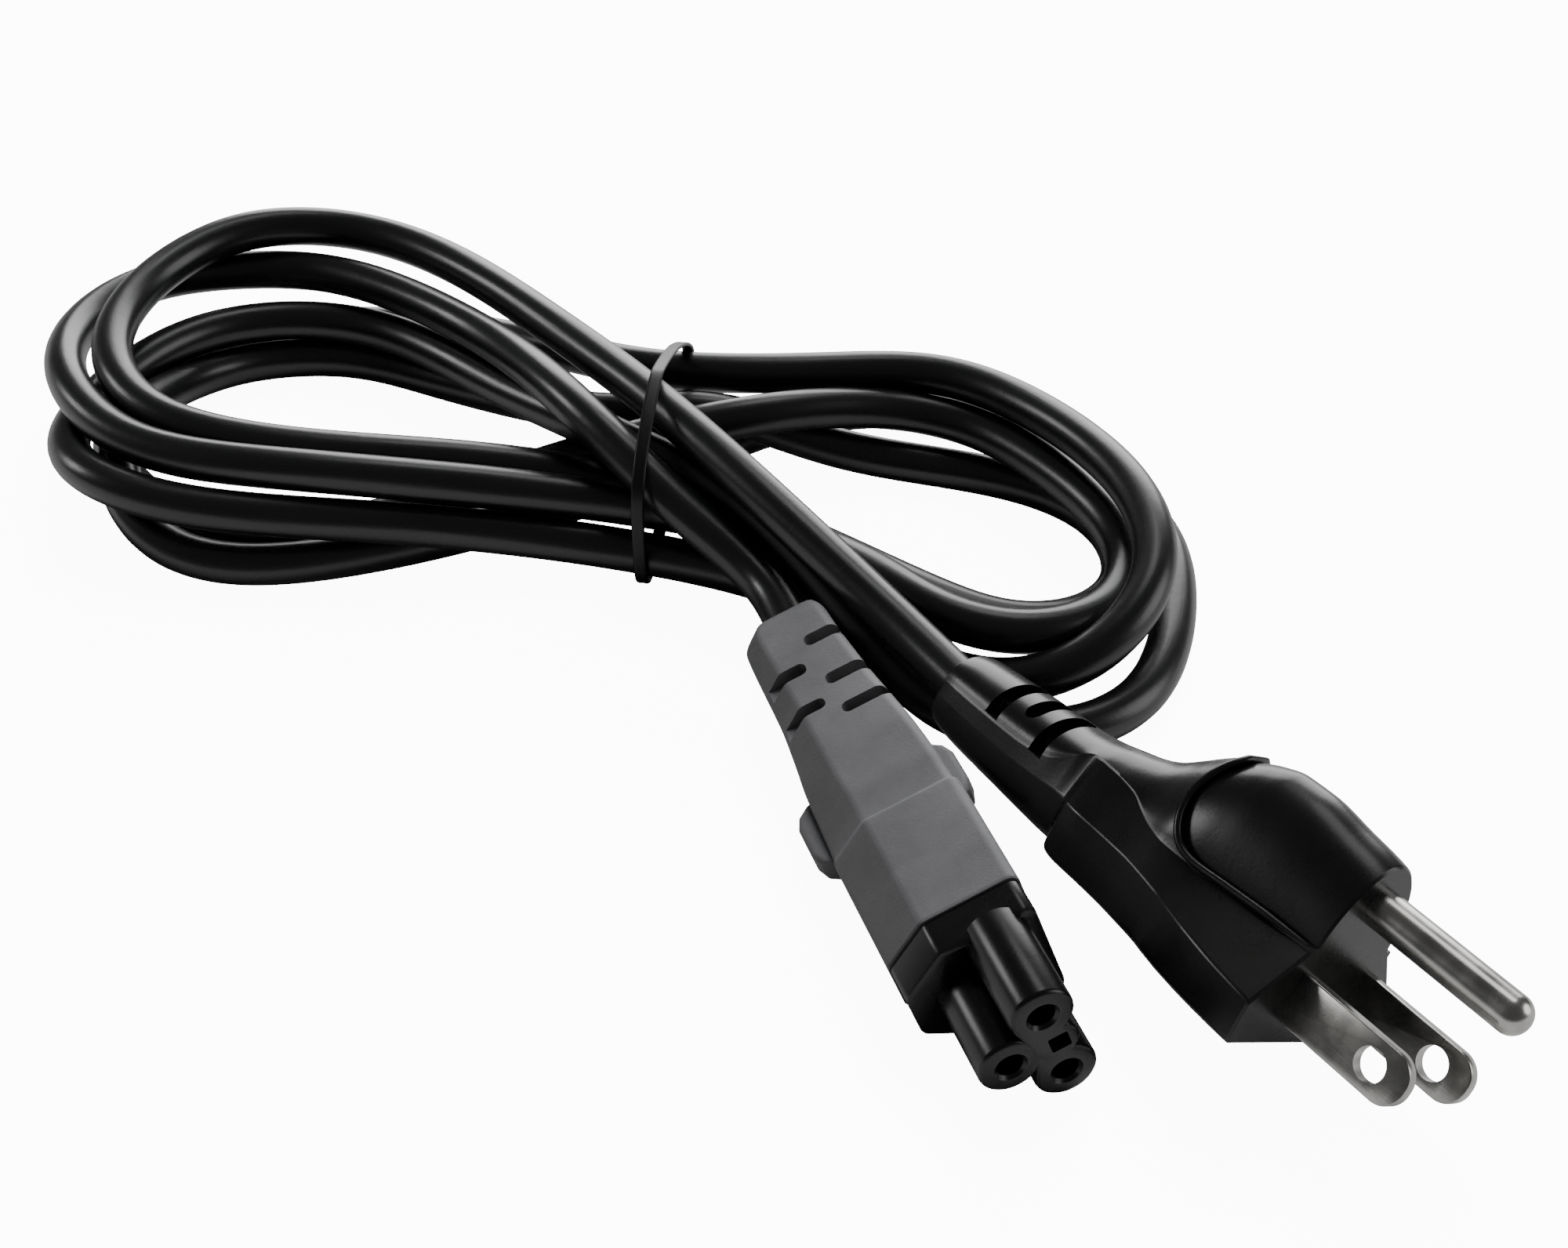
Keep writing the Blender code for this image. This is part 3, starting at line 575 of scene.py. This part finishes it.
def make_lead(look):
    """The cord: a circle of the cord's radius carried along its smoothed line. At each point the circle stands
    across the line, its first point to the left seen from above."""
    line = relaxed(smooth_line(ROUTE, SAMPLES_PER_STEP), EVENING_PASSES, CORD_RADIUS)
    line = np.vstack([
        line[0] + HELD_INSIDE * unit(line[0] - line[2]),
        line,
        line[-1] + HELD_INSIDE * unit(line[-1] - line[-3]),
    ])
    forward = unit(np.gradient(line, axis=0))
    side = unit(np.cross((0.0, 0.0, 1.0), forward))
    up = np.cross(forward, side)
    angle = 2 * math.pi * np.arange(SAMPLES_ROUND) / SAMPLES_ROUND
    ring = side[:, None] * np.cos(angle)[None, :, None] + up[:, None] * np.sin(angle)[None, :, None]
    lead = skin("cord_lead", [line[:, None] + CORD_RADIUS * ring])
    length = np.concatenate([[0.0], np.cumsum(np.linalg.norm(np.diff(line, axis=0), axis=1))])
    mesh = lead.data
    corner = np.empty(len(mesh.loops), int)
    mesh.loops.foreach_get("vertex_index", corner)
    row, column = corner // SAMPLES_ROUND, corner % SAMPLES_ROUND
    first = np.empty(len(mesh.polygons), int)
    mesh.polygons.foreach_get("loop_start", first)
    total = np.empty(len(mesh.polygons), int)
    mesh.polygons.foreach_get("loop_total", total)
    lowest = np.repeat(np.minimum.reduceat(column, first), total)
    highest = np.repeat(np.maximum.reduceat(column, first), total)
    # a face that closes the ring counts its first column as one past the last
    closing = (lowest == 0) & (highest == SAMPLES_ROUND - 1) & (column == 0)
    column = np.where(closing, SAMPLES_ROUND, column)
    run = np.stack([length[row] / CORE_LAY, column / SAMPLES_ROUND], axis=-1)
    mesh.uv_layers.new(name="run").data.foreach_set("uv", run.ravel())
    finish(lead, look, "pvc_sheath", "cord", sharp=60.0)
    return lead, line * MM, float(length[-1]) * MM


def slot_block(x, y, z, half, radius):
    """A cutter for a relief slot, seen from above a block with rounded corners: half its width, the limits of
    its length across, and the levels that it goes from and to."""
    corners = np.array([[(x - half, y[0]), (x + half, y[0]), (x + half, y[1]), (x - half, y[1])]], float)
    outline = rounded(corners, radius, 5)[0]
    level = np.array(z, float)
    grid = np.empty((2, len(outline), 3))
    grid[..., :2] = outline
    grid[..., 2] = level[:, None]
    return grid


def over_the_top(half_width, foot, crown, across, upward, steps=32):
    """Outlines over the top, from one foot up over the crown and down to the other: the height is the one-minus
    of the width's share to the first power, to one over the second power."""
    angle = np.linspace(0, math.pi, steps + 1)
    y = half_width[:, None] * np.cos(angle)
    share = (1 - np.abs(np.cos(angle)) ** across[:, None]) ** (1 / upward[:, None])
    z = foot[:, None] + (crown - foot)[:, None] * share
    return np.stack([y, z], axis=-1)


def bead(line, radius, count=14, tapered=6):
    """A round raised line: a small circle of so many points carried along the line, drawn in over a few rings
    to a small cap at both ends."""
    forward = unit(np.gradient(line, axis=0))
    # the direction that the circles are set out from is one that the line never runs in
    side = unit(np.cross((0.3, 0.0, 1.0), forward))
    up = np.cross(forward, side)
    angle = 2 * math.pi * np.arange(count) / count
    from_end = np.minimum(np.arange(len(line)), np.arange(len(line))[::-1])
    taper = np.sqrt(np.clip(from_end / tapered, 0.02, 1.0))
    ring = side[:, None] * np.cos(angle)[None, :, None] + up[:, None] * np.sin(angle)[None, :, None]
    return line[:, None] + (radius * taper)[:, None, None] * ring


def make_plug_moulding(look):
    """The plug's moulding: low wings, a rim and a curve over the top, whose measures move on smooth curves
    from the relief's end to the face. In front of the hood's edge it is cut down to the rim, and the pin's
    housing, a straight half ellipse, is joined to it there. A round lip follows the hood's edge: each point of
    the edge seen from the side goes out to the moulding's own outline."""
    stations, measures = measured(PLUG_SECTIONS, PLUG_RINGS)
    bottom, low, wing, ledge, rim, rise, top, across, upward = measures.T
    right = np.stack([
        np.stack([bottom, low], -1),
        np.stack([wing, ledge], -1),
        np.stack([rim, rise], -1),
        np.stack([rim - 0.6, rise + 3.0], -1),
    ], axis=1)
    # 0 on the relief, where the moulding is under 14 mm wide, and 1 from a width of 17 mm
    broad = np.clip((wing - 7.0) / 1.5, 0.0, 1.0)[:, None]
    radii = np.array(RELIEF_ROUNDING) - np.array(WING_LOSES) * broad
    radii = np.concatenate([radii, radii[:, ::-1]], axis=1)
    steps = 8
    corners = rounded(np.concatenate([right, right[:, ::-1] * (-1, 1)], axis=1), radii, steps)
    # each side keeps its three lower corners, and the curve over the top starts just inside the rim
    side = 3 * (steps + 1)
    foot = rise + 0.3
    arch = over_the_top(rim - 0.06, foot, top, across, upward)
    outline = np.concatenate([corners[:, :side], arch, corners[:, -side:]], axis=1)
    body = skin("plug_moulding", [on_plug(along(stations, outline))])

    edge = smooth_line(HOOD_EDGE, 6)
    hood = np.vstack([edge, HOOD_CORNER])
    hood = np.stack([np.insert(hood, 1, y, axis=1) for y in (-HOOD_HALF_WIDTH, HOOD_HALF_WIDTH)])
    combine(body, "hood", [on_plug(hood)], "DIFFERENCE")
    places, housing = measured(HOUSING_SECTIONS, HOUSING_RINGS)
    half_width, crown = housing.T
    ellipse = np.full_like(crown, 2.0)
    housing = over_the_top(half_width, HOUSING_FOOT + 0 * crown, crown, ellipse, ellipse, 40)
    combine(body, "housing", [on_plug(along(places, housing))], "UNION")

    slots = []
    for x, near in PLUG_SLOTS:
        slots += [slot_block(x, (near, 1.6), (3.5, 12.0), PLUG_SLOT_HALF, 1.05),
                  slot_block(x, (-4.6, 9.0), (-12.0, -3.6), PLUG_SLOT_HALF, 1.05)]
    combine(body, "slots", [on_plug(slot) for slot in slots], "DIFFERENCE")
    sides = [slot_block(x, (-9.0, -3.9), (1.6, 11.0), PLUG_SLOT_HALF, 0.4) for x in PLUG_SIDE_SLOTS]
    combine(body, "side_slots", [on_plug(slot) for slot in sides], "DIFFERENCE")

    # the lip's line on the near side, from the face to just below the crown, and its mirror image
    lip = edge[edge[:, 0] < LIP_START]
    wide, low_end, high_end, power = (
        np.interp(lip[:, 0], stations, column) for column in (rim, foot, top, upward)
    )
    share = np.clip((lip[:, 1] - low_end) / (high_end - low_end), 0.0, 1.0)
    near = np.stack([lip[:, 0], -wide * np.sqrt(1 - share**power), lip[:, 1]], -1)[share < 0.999]
    gather(body, [on_plug(bead(np.vstack([near, near[::-1] * (1, -1, 1)]), LIP_RADIUS))])
    return finish(body, look, "pvc_moulding", "plug_body")


def make_blade(name, side, node, look):
    """A blade: a bar rounded at its tip, drawn in the plane of its wide side and carried through its thickness
    with the outline drawn in a little at both faces, then drilled."""
    half = BLADE_THICKNESS / 2
    step, edge = BLADE_EDGE_STEP, BLADE_EDGE
    levels = np.array([-half, -half + step, -half + edge, half - edge, half - step, half])
    drawn_in = np.array([edge, step, 0.0, 0.0, step, edge])
    end, tall = BLADE_REACH - drawn_in, BLADE_WIDTH / 2 - drawn_in
    root = np.full_like(end, -BLADE_ROOT)
    corners = np.stack([
        np.stack([root, -tall], -1), np.stack([end, -tall], -1),
        np.stack([end, tall], -1), np.stack([root, tall], -1),
    ], axis=1)
    tip = BLADE_TIP_RADIUS - drawn_in
    radii = np.stack([0 * tip + 0.05, tip, tip, 0 * tip + 0.05], axis=1)
    outline = rounded(corners, radii, 14)
    middle = side * BLADE_SPACING / 2
    grid = np.stack([
        outline[..., 0], np.broadcast_to(middle + levels[:, None], outline.shape[:2]), outline[..., 1]
    ], axis=-1)[:, ::-1]
    blade = skin(name, [on_plug(grid)])
    angle = -2 * math.pi * np.arange(48) / 48
    radius = BLADE_HOLE_RADIUS
    ring = np.stack([BLADE_HOLE_AT + radius * np.cos(angle), 0 * angle, radius * np.sin(angle)], axis=-1)
    hole = np.stack([ring + (0, middle + reach, 0) for reach in (-3.0, 3.0)])
    combine(blade, "hole", [on_plug(hole)], "DIFFERENCE")
    return finish(blade, look, "plated_contact", node, sharp=50.0)


def make_pin(look):
    """The ground pin: a round bar whose end is a quarter of an ellipse turned about the axis."""
    angle = np.linspace(0, math.pi / 2, 14)[:-1]
    distance = np.concatenate([[-PIN_ROOT], PIN_REACH - PIN_DOME + PIN_DOME * np.sin(angle), [PIN_REACH]])
    radius = np.concatenate([[PIN_RADIUS], PIN_RADIUS * np.cos(angle), [PIN_FLAT]])
    rings = circles(distance, (0.0, PIN_HEIGHT), radius, 48)
    return finish(skin("pin_ground", [on_plug(rings)]), look, "plated_contact", "ground_pin")


def grip_outline(measures, smaller=0.0):
    """The grip's outline in each row, drawn in by so much: square beside the line and neutral contacts, two cut
    corners beside the earth contact, all six corners rounded."""
    left, right, high, into, down = measures.T
    left, right, high = left + smaller, right - smaller, high - smaller
    corners = np.stack([
        np.stack([left, high - down], -1), np.stack([left, down - high], -1),
        np.stack([left + into, -high], -1), np.stack([right, -high], -1),
        np.stack([right, high], -1), np.stack([left + into, high], -1),
    ], axis=1)
    return rounded(corners, GRIP_ROUNDING, 8)


def make_grip(look):
    """The connector's grip: the six-cornered outline, whose corners move on smooth curves from the relief's
    end over a dished waist to the raised front pad, with a finger lug on each side."""
    stations, measures = measured(GRIP_SECTIONS, GRIP_RINGS)
    body = skin("connector_grip", [on_connector(along(stations, grip_outline(measures)))])
    lugs = []
    places, out = np.array(LUG_SECTIONS).T
    low, high = LUG_LOW + 0 * out, LUG_HIGH + 0 * out
    for side, start in LUG_SIDES:
        inner, outer = start - LUG_DEPTH + 0 * out, start + out
        corners = np.stack([
            np.stack([inner, low], -1), np.stack([outer, low], -1),
            np.stack([outer, high], -1), np.stack([inner, high], -1),
        ], axis=1)
        rings = along(places, rounded(corners, 0.85, 5))
        rings[..., 1] *= side
        lugs.append(on_connector(rings[:, ::side]))
    combine(body, "lugs", lugs, "UNION")
    slots = []
    for x, y in GRIP_SLOTS:
        slots += [slot_block(x, y, (3.6, 12.0), GRIP_SLOT_HALF, 0.9),
                  slot_block(x, y, (-12.0, -3.6), GRIP_SLOT_HALF, 0.9)]
    for x in GRIP_SIDE_SLOTS:
        slots.append(slot_block(x, (-10.0, -5.2), (-2.4, 2.4), GRIP_SLOT_HALF, 0.4))
    combine(body, "slots", [on_connector(slot) for slot in slots], "DIFFERENCE")
    return finish(body, look, "pvc_moulding", "connector_body")


def cloverleaf(inset, count=240):
    """The nose's outline seen from its middle: in each direction the furthest reach of the three round lobes
    and of the web between them, blended so that the valleys have a small fillet. The blend is the sum of the
    reaches to a high power, to one over that power."""
    middle = np.array(LEAF_MIDDLE)
    angle = 2 * math.pi * np.arange(count) / count
    ray = np.stack([np.cos(angle), np.sin(angle)], axis=-1)
    reaches = []
    lobes = ((LINE_CONTACT, LOBE_RADIUS), (NEUTRAL_CONTACT, LOBE_RADIUS), (EARTH_CONTACT, LOBE_RADIUS),
             (WEB_CENTRE, WEB_RADIUS))
    for centre, radius in lobes:
        offset = np.array(centre) - middle
        ahead = ray @ offset
        across = ray[:, 0] * offset[1] - ray[:, 1] * offset[0]
        inside = np.maximum((radius - inset) ** 2 - across**2, 0.0)
        # a lobe that this direction misses has a reach too small to matter
        reaches.append(np.where(inside > 0, ahead + np.sqrt(inside), 0.5))
    reach = (np.maximum(np.array(reaches), 0.3) ** LEAF_BLEND).sum(0) ** (1 / LEAF_BLEND)
    return middle + ray * reach[:, None]


def make_nose(look):
    """The connector's black front: a shoulder of the grip's outline and the cloverleaf nose, drilled for three
    contacts, whose mouths are flared, and with a square keyway."""
    stations, smaller = np.array(SHOULDER_SECTIONS).T
    full = np.repeat(np.array(GRIP_SECTIONS[-2])[None, 1:], len(stations), axis=0)
    insert = skin("cloverleaf_nose", [on_connector(along(stations, grip_outline(full, smaller)))])
    places, insets = np.array(NOSE_SECTIONS).T
    leaf = np.stack([cloverleaf(inset) for inset in insets])
    combine(insert, "leaf", [on_connector(along(places, leaf))], "UNION")
    # each cutter goes on beyond the front
    contacts = (LINE_CONTACT, NEUTRAL_CONTACT, EARTH_CONTACT)
    cuts = [circles((-CONTACT_DEPTH, 2.0), contact, CONTACT_HOLE_RADIUS, 40) for contact in contacts]
    cuts.append(box((-KEYWAY_DEPTH, 2.0), KEYWAY[:2], (-KEYWAY[2], KEYWAY[2]), 0.25))
    combine(insert, "contacts", [on_connector(cut) for cut in cuts], "DIFFERENCE")
    flare = (CONTACT_HOLE_RADIUS - 0.05, CONTACT_HOLE_RADIUS + MOUTH_FLARE)
    mouths = [circles((-MOUTH_DEPTH, 0.05), contact, flare, 40) for contact in contacts]
    combine(insert, "mouths", [on_connector(mouth) for mouth in mouths], "DIFFERENCE")
    return finish(insert, look, "hard_insert", "socket_insert", sharp=38.0)


def make_tie(look):
    """The tie: a flat band, its section carried round the bundle on a closed smooth line and standing square to
    that line. The section is half width by a power of the cosine and half thickness by the sine, thicker
    towards its two edges."""
    line = smooth_line(TIE_PATH, 8, closed=True)
    ahead = unit(np.roll(line, -1, axis=0) - np.roll(line, 1, axis=0))
    out = np.stack([ahead[:, 1], -ahead[:, 0]], axis=-1)
    angle = 2 * math.pi * np.arange(20) / 20
    wide = TIE_HALF_WIDTH * np.sign(np.cos(angle)) * np.abs(np.cos(angle)) ** 0.6
    thick = TIE_HALF_THICKNESS * np.sin(angle) * (0.72 + 0.28 * np.abs(np.cos(angle)) ** 0.8)
    flat = line[:, None] + out[:, None] * thick[None, :, None]
    across = np.broadcast_to(wide[None, :, None], (*flat.shape[:2], 1))
    band = skin("waist_tie", [
        into_place(np.concatenate([across, flat], axis=-1), (*TIE_CENTRE, 0.0), TIE_HEADING, 0.0)
    ], closed_along=True)
    return finish(band, look, "tie_coating", "twist_tie", sharp=60.0)


def make_stage():
    """A pale level floor and background, soft lamps from above, behind and both sides, and the camera."""
    corner = FLOOR_HALF_WIDTH
    mesh = bpy.data.meshes.new("floor")
    mesh.from_pydata([(-corner, -corner, 0), (corner, -corner, 0), (corner, corner, 0), (-corner, corner, 0)],
                     [], [(0, 1, 2, 3)])
    floor = bpy.data.objects.new("floor", mesh)
    bpy.context.scene.collection.objects.link(floor)
    # matte white paper with fibres of 1.1 mm, lit from below, which the camera sees, while it shines only
    # faintly into the plastic
    paper, tree, out = new_material("white paper sweep")
    place = add(tree, "ShaderNodeTexCoord")
    fibre = add(tree, "ShaderNodeTexNoise",
                {"Vector": place.outputs["Object"], "Scale": 900.0, "Detail": 2.0})
    bump = add(tree, "ShaderNodeBump", {"Height": fibre.outputs["Fac"], "Strength": 0.1,
                                        "Distance": 0.05 * MM})
    shader = add(tree, "ShaderNodeBsdfPrincipled", {
        "Base Color": linear("#f4f4f4"), "Roughness": 0.8, "Specular IOR Level": 0.2,
        "Emission Color": (1.0, 1.0, 1.0, 1.0), "Emission Strength": FLOOR_GLOW,
        "Normal": bump.outputs["Normal"],
    })
    faint = add(tree, "ShaderNodeBsdfDiffuse", {"Color": linear("#bebebe")})
    ray = add(tree, "ShaderNodeLightPath")
    seen = add(tree, "ShaderNodeMixShader", {0: ray.outputs["Is Camera Ray"], 1: faint.outputs["BSDF"],
                                             2: shader.outputs["BSDF"]})
    tree.links.new(seen.outputs["Shader"], out.inputs["Surface"])
    mesh.materials.append(paper)

    for name, elevation, azimuth, strength, spread in LAMPS:
        light = bpy.data.lights.new(name, "SUN")
        light.energy = strength
        light.angle = math.radians(spread)
        lamp = bpy.data.objects.new(name, light)
        # a lamp shines along its own -Z
        lamp.rotation_euler = (0.0, math.radians(90.0 - elevation), math.radians(azimuth))
        # the overhead lamp stays out of the gloss, as if through a large cloth, and two only give gloss
        lamp.visible_glossy = name != "overhead"
        lamp.visible_diffuse = not name.endswith("gloss")
        bpy.context.scene.collection.objects.link(lamp)

    world = bpy.data.worlds.new("studio")
    world.use_nodes = True
    tree = world.node_tree
    tree.nodes.clear()
    ray = add(tree, "ShaderNodeLightPath")
    dim = add(tree, "ShaderNodeBackground", {"Color": (1.0, 1.0, 1.0, 1.0), "Strength": BACKGROUND_LIGHT})
    pale = add(tree, "ShaderNodeBackground", {"Color": (1.0, 1.0, 1.0, 1.0), "Strength": BACKGROUND_GLOW})
    mix = add(tree, "ShaderNodeMixShader", {0: ray.outputs["Is Camera Ray"], 1: dim.outputs["Background"],
                                            2: pale.outputs["Background"]})
    out = add(tree, "ShaderNodeOutputWorld", {"Surface": mix.outputs["Shader"]})
    bpy.context.scene.world = world

    lens = bpy.data.cameras.new("camera")
    lens.lens = FOCAL_LENGTH
    lens.sensor_width = SENSOR_WIDTH
    camera = bpy.data.objects.new("camera", lens)
    camera.location = [distance * MM for distance in CAMERA_PLACE]
    camera.rotation_euler = (math.radians(CAMERA_TILT), 0.0, 0.0)
    bpy.context.scene.collection.objects.link(camera)
    bpy.context.scene.camera = camera


def main():
    """The stage, the finishes, the cord, and then the pieces."""
    make_stage()
    sheath = extruded_pvc()
    # the plug's soft PVC: deep black, with broad soft highlights along its edges
    gloss = moulded_plastic("glossy black moulded PVC", "#060606", "#0a0a0a", 0.28, 0.5, 0.012, 1.45)
    # the grip's PVC from a sandblasted mould: dark grey in the light, without highlights
    matte = moulded_plastic("matte grey-black moulded PVC", "#4e4e50", "#5b5b5d", 0.58, 0.35, 0.05, 1.36)
    # the nose: blacker and smoother than the grip, so that its lobes show as thin bright lines
    hard = moulded_plastic("hard black polyamide", "#040404", "#070707", 0.28, 0.6, 0.01, 1.45)
    # the tie's thin coating: black with a dull sheen
    coat = moulded_plastic("black PVC tie coating", "#050505", "#090909", 0.42, 0.4, 0.02, 1.42)
    nickel = nickel_plate()

    lead, line, length = make_lead(sheath)
    plug = make_plug_moulding(gloss)
    blades = [
        make_blade("blade_line", -1, "line_blade", nickel),
        make_blade("blade_neutral", 1, "neutral_blade", nickel),
    ]
    pin = make_pin(nickel)
    grip = make_grip(matte)
    nose = make_nose(hard)
    tie = make_tie(coat)


main()
